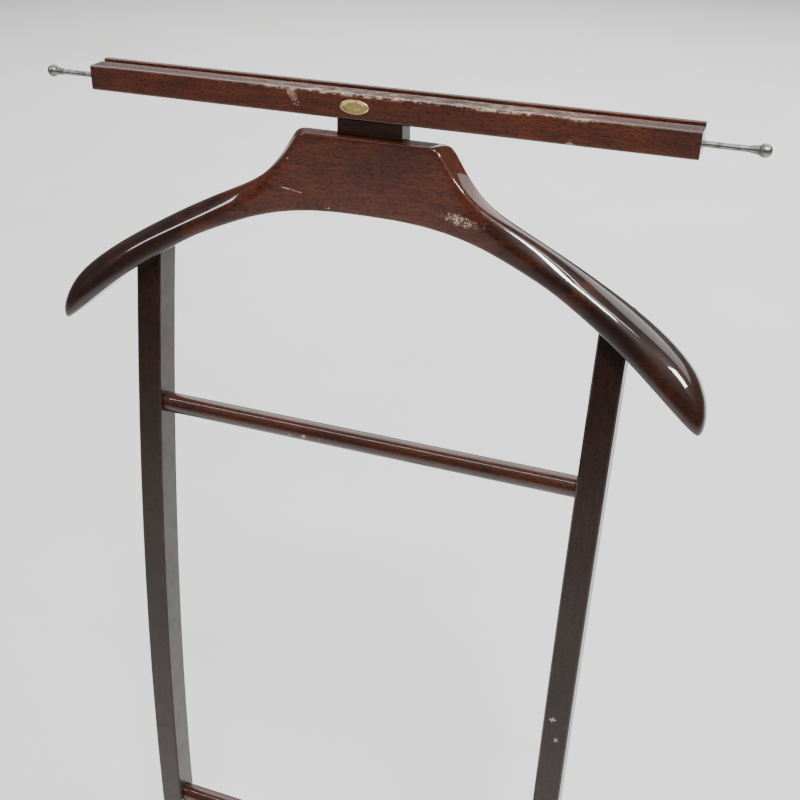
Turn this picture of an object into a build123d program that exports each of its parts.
"""Bow-fronted wooden valet stand with a jacket hanger, a sprung trouser clamp, two tie rods and a shoe rack.

Millimetres. +X is the stand's left-to-right width, -Y its front, +Z up. The origin is on the floor,
under the middle of the object's box.
"""

import math
import os

from build123d import *

# ---------------------------------------------------------------- driving dimensions
BAR_LENGTH = 395.0            # trouser bar, end to end
BAR_BOTTOM = 1062.0           # height of the bar's underside
BAR_FRONT = 10.0              # Y of the bar's front face
FRONT_STRIP_DEPTH = 15.5
FRONT_STRIP_HEIGHT = 16.0
CLAMP_GAP = 2.0               # between the two strips when the clamp is shut
REAR_STRIP_DEPTH = 9.5
REAR_STRIP_HEIGHT = 18.0
REAR_STRIP_RISE = 1.4         # the rear strip stands this much above the front one

HANGER_TOP = 1052.5           # top of the hanger's centre plate
HANGER_FRONT = 4.5            # Y of the centre plate's front face
PLATE_THICKNESS = 14.0
PLATE_HALF_WIDTH = 46.0       # centre plate's flat top, each side of the middle
HANGER_HALF_SPAN = 227.5

UPRIGHT_WIDTH = 19.0          # along X
UPRIGHT_DEPTH = 22.0          # across the bow
UPRIGHT_TOP = 960.0           # let into the hanger's underside
SHOULDER_SCREW_HEIGHT = 954.0
UPRIGHT_BOTTOM = 90.0         # let into the foot's crown, above its tenon
UPRIGHT_EASED_EDGE = 1.2
UPRIGHT_X = 164.0             # middle of each upright
BOW_RADIUS = 3075.0           # side view: the uprights' front faces are arcs of this radius
BOW_HEIGHT = 430.0            # height at which the bow stands furthest forward
BOW_FRONT = -38.5             # Y of the bow's front face there

RAIL_RADIUS = 7.5
UPPER_RAIL_HEIGHT = 839.5
LOWER_RAIL_HEIGHT = 453.0
SOCKET_DEPTH = 12.0           # blind sockets that hold the rails' ends

FOOT_HALF_LENGTH = 165.0      # front and back from the middle
FOOT_WIDTH = 23.0
FOOT_CROWN = 96.0             # top of the arched foot
FOOT_TOE_TOP = 26.0
FOOT_ARCH_CROWN = 64.0        # top of the gap under the foot
FOOT_ARCH_HALF = 126.0
GLIDE_HEIGHT = 3.0
GLIDE_RADIUS = 9.0
GLIDE_Y = 145.0
SHOE_RAIL_RADIUS = 6.0
SHOE_RAILS = ((-118.0, 42.0), (-62.0, 70.0), (62.0, 70.0), (118.0, 42.0))   # (Y, Z) of each axis

ROD_RADIUS = 1.8
ROD_AXIS_Y = 17.5
ROD_AXIS_Z = BAR_BOTTOM + 8.0
ROD_OUT_TRAVEL = 40.0
ROD_IN_TRAVEL = 25.0
BALL_RADIUS = 4.0
BALL_X = 231.5                # middle of each ball end, with the rods partly drawn
FERRULE_LENGTH = 5.0
FERRULE_RADIUS = 3.6
COLLAR_LENGTH = 5.0
COLLAR_RADIUS = 3.1
RUNNING_CLEARANCE = 0.08      # radial, wherever a rod or pin slides

PIN_X = 100.0                 # guide pins of the clamp, each side of the middle
PIN_RADIUS = 2.0
PIN_BURIED = 7.5
SPRING_MEAN_RADIUS = 3.3
SPRING_WIRE_RADIUS = 0.4
SPRING_TURNS = 5
SPRING_END_GAP = 0.1
COUNTERBORE_RADIUS = 4.6
COUNTERBORE_DEPTH = 4.0
KNOB_Y = 46.5                 # front face of the clamp's knobs
KNOB_RADIUS = 4.5

NECK_HALF_WIDTH = 21.5
NECK_BOTTOM = 1012.0

# ---------------------------------------------------------------- derived places
BAR_TOP = BAR_BOTTOM + FRONT_STRIP_HEIGHT
BAR_END = BAR_LENGTH / 2
FRONT_STRIP_BACK = BAR_FRONT + FRONT_STRIP_DEPTH
REAR_STRIP_FRONT = FRONT_STRIP_BACK + CLAMP_GAP
REAR_STRIP_BACK = REAR_STRIP_FRONT + REAR_STRIP_DEPTH
REAR_STRIP_TOP = BAR_TOP + REAR_STRIP_RISE
PLATE_BACK = HANGER_FRONT + PLATE_THICKNESS
COUNTERBORE_FLOOR = REAR_STRIP_BACK - COUNTERBORE_DEPTH
BOW_CENTRE_Y = BOW_FRONT + BOW_RADIUS
ROD_INNER_END = BAR_END - FERRULE_LENGTH - ROD_OUT_TRAVEL - COLLAR_LENGTH

# right half of the hanger's front outline, (X, Z), from the plate's corner out to the tip
SHOULDER_LINE = (
    (PLATE_HALF_WIDTH, HANGER_TOP), (54.5, 1039.0), (66.0, 1024.5), (82.0, 1013.5), (107.0, 1002.3),
    (134.0, 988.6), (173.0, 966.4), (206.5, 944.0), (222.0, 926.0), (HANGER_HALF_SPAN, 908.0),
)
TIP = (225.0, 900.0)
ARCH_LINE = (
    TIP, (213.0, 908.3), (193.0, 925.7), (162.0, 949.6), (124.0, 973.0), (80.0, 992.3), (36.0, 1002.4), (0.0, 1004.0),
)
# the hanger seen from above: half of its front and back edges, (X, Y), from the middle outwards
PLAN_FRONT = ((0.0, HANGER_FRONT), (50.0, HANGER_FRONT), (95.0, 2.2), (140.0, -2.5), (175.0, -9.5), (205.0, -15.3),
              (236.0, -18.0))
PLAN_BACK = ((0.0, PLATE_BACK), (50.0, PLATE_BACK), (95.0, 20.0), (140.0, 23.0), (180.0, 24.5), (206.0, 21.0),
             (222.0, 12.0), (236.0, -4.0))
HANGER_EDGE_FILLET = 4.0


def mirrored(points):
    """The same points on the other side of the middle plane, in the opposite order."""
    return [(-x, other) for x, other in reversed(points)]


def block(x_range, y_range, z_range):
    """A box from its lowest and highest coordinates."""
    size = [high - low for low, high in (x_range, y_range, z_range)]
    middle = [(high + low) / 2 for low, high in (x_range, y_range, z_range)]
    return Pos(*middle) * Box(*size)


def rod_along_x(x_range, y, z, radius):
    length = abs(x_range[1] - x_range[0])
    return Pos((x_range[0] + x_range[1]) / 2, y, z) * Rot(0, 90, 0) * Cylinder(radius, length)


def tie_rod_piece(side, near, far, radius):
    """A cylinder on a tie rod's axis, from a near to a far distance from the middle."""
    return rod_along_x((side * near, side * far), ROD_AXIS_Y, ROD_AXIS_Z, radius)


def rod_along_y(x, y_range, z, radius):
    length = y_range[1] - y_range[0]
    return Pos(x, (y_range[0] + y_range[1]) / 2, z) * Rot(90, 0, 0) * Cylinder(radius, length)


def rod_along_z(x, y, z_range, radius):
    length = z_range[1] - z_range[0]
    return Pos(x, y, (z_range[0] + z_range[1]) / 2) * Cylinder(radius, length)


def long_edges(shape, axis, shortest):
    """Edges along an axis that are at least this long."""
    return [edge for edge in shape.edges().filter_by(axis) if edge.length >= shortest]


# ---------------------------------------------------------------- trouser bar and its clamp
def guide_pin(side):
    return rod_along_y(side * PIN_X, (FRONT_STRIP_BACK - PIN_BURIED, KNOB_Y + 4.0), ROD_AXIS_Z, PIN_RADIUS)


def clamp_knob(side):
    """A round-headed nut that closes the end of a guide pin and holds its spring."""
    collar = rod_along_y(side * PIN_X, (KNOB_Y, KNOB_Y + 3.0), ROD_AXIS_Z, KNOB_RADIUS)
    dome = Pos(side * PIN_X, KNOB_Y + 3.0, ROD_AXIS_Z) * Sphere(KNOB_RADIUS)
    dome -= block((-BAR_END, BAR_END), (KNOB_Y - 5, KNOB_Y + 3.0), (BAR_BOTTOM - 20, BAR_TOP + 20))
    return collar + dome - guide_pin(side)


def clamp_spring(side):
    """An open coil spring between the rear strip's counterbore and the knob."""
    length = KNOB_Y - COUNTERBORE_FLOOR - 2 * SPRING_WIRE_RADIUS - 2 * SPRING_END_GAP
    coil = Helix(length / SPRING_TURNS, length, SPRING_MEAN_RADIUS)
    wire_end = Plane(origin=coil @ 0, z_dir=coil % 0)
    wire = sweep(wire_end * Circle(SPRING_WIRE_RADIUS), path=coil)
    start = COUNTERBORE_FLOOR + SPRING_WIRE_RADIUS + SPRING_END_GAP
    return Pos(side * PIN_X, start, ROD_AXIS_Z) * Rot(-90, 0, 0) * wire


def tie_rod_bore(side):
    """The blind bore in the bar's end: wide for the collar, wider still at the mouth for the ferrule."""
    deepest = ROD_INNER_END - ROD_IN_TRAVEL - 2.0
    bore = tie_rod_piece(side, deepest, BAR_END, COLLAR_RADIUS + RUNNING_CLEARANCE)
    return bore + tie_rod_piece(side, BAR_END - FERRULE_LENGTH, BAR_END, FERRULE_RADIUS)


def neck_dowel(side):
    return rod_along_z(side * 14.0, 17.75, (1053.5, 1071.5), 3.0)


def clamp_front_strip():
    strip = block((-BAR_END, BAR_END), (BAR_FRONT, FRONT_STRIP_BACK), (BAR_BOTTOM, BAR_TOP))
    strip = fillet(long_edges(strip, Axis.X, 300), 1.4)
    strip = fillet(strip.faces().filter_by(Axis.X).edges(), 0.7)
    for side in (-1, 1):
        strip -= tie_rod_bore(side)
        strip -= guide_pin(side)
        strip -= neck_dowel(side)
    return strip


def clamp_rear_strip():
    """A D-section strip: flat towards the front strip, rounded at the back."""
    bottom = REAR_STRIP_TOP - REAR_STRIP_HEIGHT
    strip = block((-BAR_END, BAR_END), (REAR_STRIP_FRONT, REAR_STRIP_BACK), (bottom, REAR_STRIP_TOP))
    back_edges = [edge for edge in long_edges(strip, Axis.X, 300) if edge.center().Y > REAR_STRIP_BACK - 1]
    strip = fillet(back_edges, 7.0)
    front_edges = [edge for edge in long_edges(strip, Axis.X, 300) if edge.center().Y < REAR_STRIP_FRONT + 1]
    strip = fillet(front_edges, 0.8)
    for side in (-1, 1):
        hole_radius = PIN_RADIUS + RUNNING_CLEARANCE
        strip -= rod_along_y(side * PIN_X, (REAR_STRIP_FRONT - 1, REAR_STRIP_BACK + 1), ROD_AXIS_Z, hole_radius)
        strip -= rod_along_y(side * PIN_X, (COUNTERBORE_FLOOR, REAR_STRIP_BACK + 1), ROD_AXIS_Z, COUNTERBORE_RADIUS)
    return strip


def clamp_felt():
    """The grip lining on the rear strip's flat face."""
    felt = block((-BAR_END + 6, BAR_END - 6), (REAR_STRIP_FRONT - 1.6, REAR_STRIP_FRONT), (1064.0, 1076.8))
    for side in (-1, 1):
        hole_radius = PIN_RADIUS + RUNNING_CLEARANCE
        felt -= rod_along_y(side * PIN_X, (REAR_STRIP_FRONT - 3, REAR_STRIP_FRONT + 1), ROD_AXIS_Z, hole_radius)
    return felt


# ---------------------------------------------------------------- pull-out tie rods
def tie_rod(side):
    return tie_rod_piece(side, ROD_INNER_END, BALL_X + 1.0, ROD_RADIUS)


def tie_rod_ball(side):
    """A ball on the rod's end, with a short neck that tapers down to the rod."""
    ball = Pos(side * BALL_X, ROD_AXIS_Y, ROD_AXIS_Z) * Rot(0, 0, 90) * Sphere(BALL_RADIUS)
    neck = Pos(side * (BALL_X - 5.5), ROD_AXIS_Y, ROD_AXIS_Z) * Rot(0, side * 90, 0) * Cone(2.1, 2.7, 5.0)
    return ball + neck - tie_rod(side)


def tie_rod_collar(side):
    """The stop ring that keeps the rod from leaving the bar."""
    return tie_rod_piece(side, ROD_INNER_END, ROD_INNER_END + COLLAR_LENGTH, COLLAR_RADIUS) - tie_rod(side)


def tie_rod_ferrule(side):
    ferrule = tie_rod_piece(side, BAR_END - FERRULE_LENGTH, BAR_END, FERRULE_RADIUS)
    return ferrule - tie_rod_piece(side, BAR_END - FERRULE_LENGTH - 1, BAR_END + 1, ROD_RADIUS + RUNNING_CLEARANCE)


# ---------------------------------------------------------------- hanger and neck
def neck_screw(side):
    """A countersunk wood screw from the back of the neck into the hanger's plate, with a slotted head."""
    x, z = side * 12.0, 1030.0
    shank = rod_along_y(x, (9.5, FRONT_STRIP_BACK - 1.0), z, 1.75)
    head = Pos(x, FRONT_STRIP_BACK - 1.3, z) * Rot(90, 0, 0) * Cone(3.5, 1.75, 2.6)
    slot = block((x - 4, x + 4), (FRONT_STRIP_BACK - 0.9, FRONT_STRIP_BACK + 1), (z - 0.4, z + 0.4))
    return shank + head - slot


def neck_screw_hole(side):
    x, z = side * 12.0, 1030.0
    shank = rod_along_y(x, (9.5, FRONT_STRIP_BACK - 1.0), z, 1.75)
    return shank + Pos(x, FRONT_STRIP_BACK - 1.3, z) * Rot(90, 0, 0) * Cone(3.5, 1.75, 2.6)


def shoulder_screw(side):
    """A long countersunk screw from behind, through the upright's head into the hanger's shoulder."""
    x, z = side * UPRIGHT_X, SHOULDER_SCREW_HEIGHT
    back = bow_y(z, UPRIGHT_DEPTH)
    shank = rod_along_y(x, (3.0, back - 1.0), z, 1.75)
    return shank + Pos(x, back - 1.5, z) * Rot(90, 0, 0) * Cone(3.5, 1.75, 2.6)


def hanger_blank():
    """The hanger's front outline and its outline from above, each extruded, and what both share."""
    top = Line(mirrored(SHOULDER_LINE)[-1], SHOULDER_LINE[0])
    right = Spline(*SHOULDER_LINE, TIP)
    left = Spline(*mirrored(SHOULDER_LINE + (TIP,)))
    under = Spline(*ARCH_LINE, *mirrored(ARCH_LINE[:-1]))
    outline = Plane.XZ * make_face(Curve() + [top, right, under, left])
    board = Pos(0, 60, 0) * extrude(outline, 120)

    front = Spline(*mirrored(PLAN_FRONT[1:]), *PLAN_FRONT)
    back = Spline(*mirrored(PLAN_BACK[1:]), *PLAN_BACK)
    right_end = Line(PLAN_FRONT[-1], PLAN_BACK[-1])
    left_end = Line(mirrored(PLAN_FRONT)[0], mirrored(PLAN_BACK)[0])
    plan = make_face(Curve() + [front, right_end, back, left_end])
    bow = Pos(0, 0, 880) * extrude(plan, 200)
    blank = board & bow
    return fillet([edge for edge in blank.edges() if edge.length > 100], HANGER_EDGE_FILLET)


def hanger():
    body = hanger_blank()
    head = eased_upright(upright_bar())
    for side, post in ((-1, mirror(head, about=Plane.YZ)), (1, head)):
        body -= post
        body -= neck_screw_hole(side)
        body -= shoulder_screw(side)
    return body


def neck_block():
    """A rabbeted block: its head carries the bar, its tongue is screwed to the back of the plate."""
    neck = block((-NECK_HALF_WIDTH, NECK_HALF_WIDTH), (BAR_FRONT, FRONT_STRIP_BACK), (NECK_BOTTOM, BAR_BOTTOM))
    neck -= block((-50, 50), (0, PLATE_BACK), (NECK_BOTTOM - 10, HANGER_TOP))
    neck = fillet(neck.edges().filter_by(Axis.Z), 0.6)
    for side in (-1, 1):
        neck -= neck_screw_hole(side)
        neck -= neck_dowel(side)
    return neck


# ---------------------------------------------------------------- uprights and rails
def bow_y(height, inset=0.0):
    """Y of the bow's front face at a height, or of a line that far behind it."""
    return BOW_CENTRE_Y - math.sqrt((BOW_RADIUS - inset) ** 2 - (height - BOW_HEIGHT) ** 2)


def bow_arc(low, high, inset):
    middle = (low + high) / 2
    return ThreePointArc((bow_y(low, inset), low), (bow_y(middle, inset), middle), (bow_y(high, inset), high))


def rail_blank(height):
    reach = UPRIGHT_X - UPRIGHT_WIDTH / 2 + SOCKET_DEPTH
    return rod_along_x((-reach, reach), bow_y(height, UPRIGHT_DEPTH / 2), height, RAIL_RADIUS)


def rail_brad(height, side):
    """A small nail from behind that locks a rail's end in its socket."""
    x = side * (UPRIGHT_X - 4.0)
    back = bow_y(height, UPRIGHT_DEPTH)
    shank = rod_along_y(x, (back - 14.0, back - 0.5), height, 0.8)
    return shank + rod_along_y(x, (back - 1.0, back - 0.2), height, 1.6)


def rail(height):
    return rail_blank(height) - rail_brad(height, -1) - rail_brad(height, 1)


def foot_tenon():
    y = bow_y(UPRIGHT_BOTTOM, UPRIGHT_DEPTH / 2)
    x_range = (UPRIGHT_X - 4.5, UPRIGHT_X + 4.5)
    return block(x_range, (y - 7, y + 7), (UPRIGHT_BOTTOM - 18, UPRIGHT_BOTTOM + 4))


def upright_bar():
    """A square bar bent to the bow, longer than the upright at both ends."""
    low, high = UPRIGHT_BOTTOM - 30, UPRIGHT_TOP + 30
    front, back = bow_arc(low, high, 0), bow_arc(low, high, UPRIGHT_DEPTH)
    bottom, top = Line(front @ 0, back @ 0), Line(front @ 1, back @ 1)
    profile = Plane.YZ * make_face(Curve() + [front, top, back, bottom])
    return Pos(UPRIGHT_X - UPRIGHT_WIDTH / 2, 0, 0) * extrude(profile, UPRIGHT_WIDTH)


def eased_upright(bar):
    """The bar with its long edges eased, cut to length, with the tenon at its foot."""
    eased = chamfer([edge for edge in bar.edges() if edge.length > 500], UPRIGHT_EASED_EDGE)
    length = block((UPRIGHT_X - 50, UPRIGHT_X + 50), (-100, 100), (UPRIGHT_BOTTOM, UPRIGHT_TOP))
    return (eased & length) + foot_tenon()


def upright_right():
    bar = upright_bar() - shoulder_screw(1)
    for height in (UPPER_RAIL_HEIGHT, LOWER_RAIL_HEIGHT):
        bar -= rail_blank(height)
        bar -= rail_brad(height, 1)
    return eased_upright(bar)


# ---------------------------------------------------------------- feet and shoe rack
def foot_outline():
    """Side view of an arched foot, in (Y, Z)."""
    outer = ThreePointArc((-FOOT_HALF_LENGTH, FOOT_TOE_TOP), (0, FOOT_CROWN), (FOOT_HALF_LENGTH, FOOT_TOE_TOP))
    inner = ThreePointArc((-FOOT_ARCH_HALF, GLIDE_HEIGHT), (0, FOOT_ARCH_CROWN), (FOOT_ARCH_HALF, GLIDE_HEIGHT))
    front_toe = Polyline((-FOOT_HALF_LENGTH, FOOT_TOE_TOP), (-160.0, GLIDE_HEIGHT), (-FOOT_ARCH_HALF, GLIDE_HEIGHT))
    back_toe = Polyline((FOOT_HALF_LENGTH, FOOT_TOE_TOP), (160.0, GLIDE_HEIGHT), (FOOT_ARCH_HALF, GLIDE_HEIGHT))
    return Plane.YZ * make_face(Curve() + [outer, inner, front_toe, back_toe])


def foot_blank_right():
    foot = Pos(UPRIGHT_X - FOOT_WIDTH / 2, 0, 0) * extrude(foot_outline(), FOOT_WIDTH)
    toe_edges = [edge for edge in foot.edges().filter_by(Axis.X) if abs(edge.center().Y) > FOOT_ARCH_HALF + 5]
    return fillet(toe_edges, 5.0)


def shoe_rail(place):
    reach = UPRIGHT_X - FOOT_WIDTH / 2 + SOCKET_DEPTH
    return rod_along_x((-reach, reach), place[0], place[1], SHOE_RAIL_RADIUS)


def foot_right():
    foot = foot_blank_right()
    foot = fillet(foot.edges().filter_by(Axis.X, reverse=True), 1.6)
    foot -= eased_upright(upright_bar())
    for place in SHOE_RAILS:
        foot -= shoe_rail(place)
    return foot


def foot_glides():
    pads = []
    for x in (-UPRIGHT_X, UPRIGHT_X):
        for y in (-GLIDE_Y, GLIDE_Y):
            pad = rod_along_z(x, y, (0, GLIDE_HEIGHT), GLIDE_RADIUS)
            pads.append(fillet(pad.edges().group_by(Axis.Z)[0], 0.8))
    return Compound(children=pads)


# ---------------------------------------------------------------- the whole stand
def named_sides(name, make):
    """One node for the left side and one for the right."""
    return {f"{name}_left": make(-1), f"{name}_right": make(1)}


def stand():
    post = upright_right()
    foot = foot_right()
    nodes = {
        "hanger": hanger(),
        "neck_block": neck_block(),
        "neck_screws": Compound(children=[neck_screw(-1), neck_screw(1)]),
        "neck_dowels": Compound(children=[neck_dowel(-1), neck_dowel(1)]),
        "shoulder_screws": Compound(children=[shoulder_screw(-1), shoulder_screw(1)]),
        "clamp_front_strip": clamp_front_strip(),
        "clamp_rear_strip": clamp_rear_strip(),
        "clamp_felt": clamp_felt(),
        "upright_right": post,
        "upright_left": mirror(post, about=Plane.YZ),
        "upper_rail": rail(UPPER_RAIL_HEIGHT),
        "lower_rail": rail(LOWER_RAIL_HEIGHT),
        "foot_right": foot,
        "foot_left": mirror(foot, about=Plane.YZ),
        "foot_glides": foot_glides(),
    }
    brads = [rail_brad(height, side) for height in (UPPER_RAIL_HEIGHT, LOWER_RAIL_HEIGHT) for side in (-1, 1)]
    nodes["rail_brads"] = Compound(children=brads)
    for number, place in enumerate(SHOE_RAILS, start=1):
        nodes[f"shoe_rail_{number}"] = shoe_rail(place)
    nodes.update(named_sides("clamp_pin", guide_pin))
    nodes.update(named_sides("clamp_knob", clamp_knob))
    nodes.update(named_sides("clamp_spring", clamp_spring))
    nodes.update(named_sides("tie_rod", tie_rod))
    nodes.update(named_sides("tie_rod_ball", tie_rod_ball))
    nodes.update(named_sides("tie_rod_collar", tie_rod_collar))
    nodes.update(named_sides("tie_rod_ferrule", tie_rod_ferrule))
    return nodes


os.makedirs("parts", exist_ok=True)
for node_name, shape in stand().items():
    export_step(shape, f"parts/{node_name}.step")
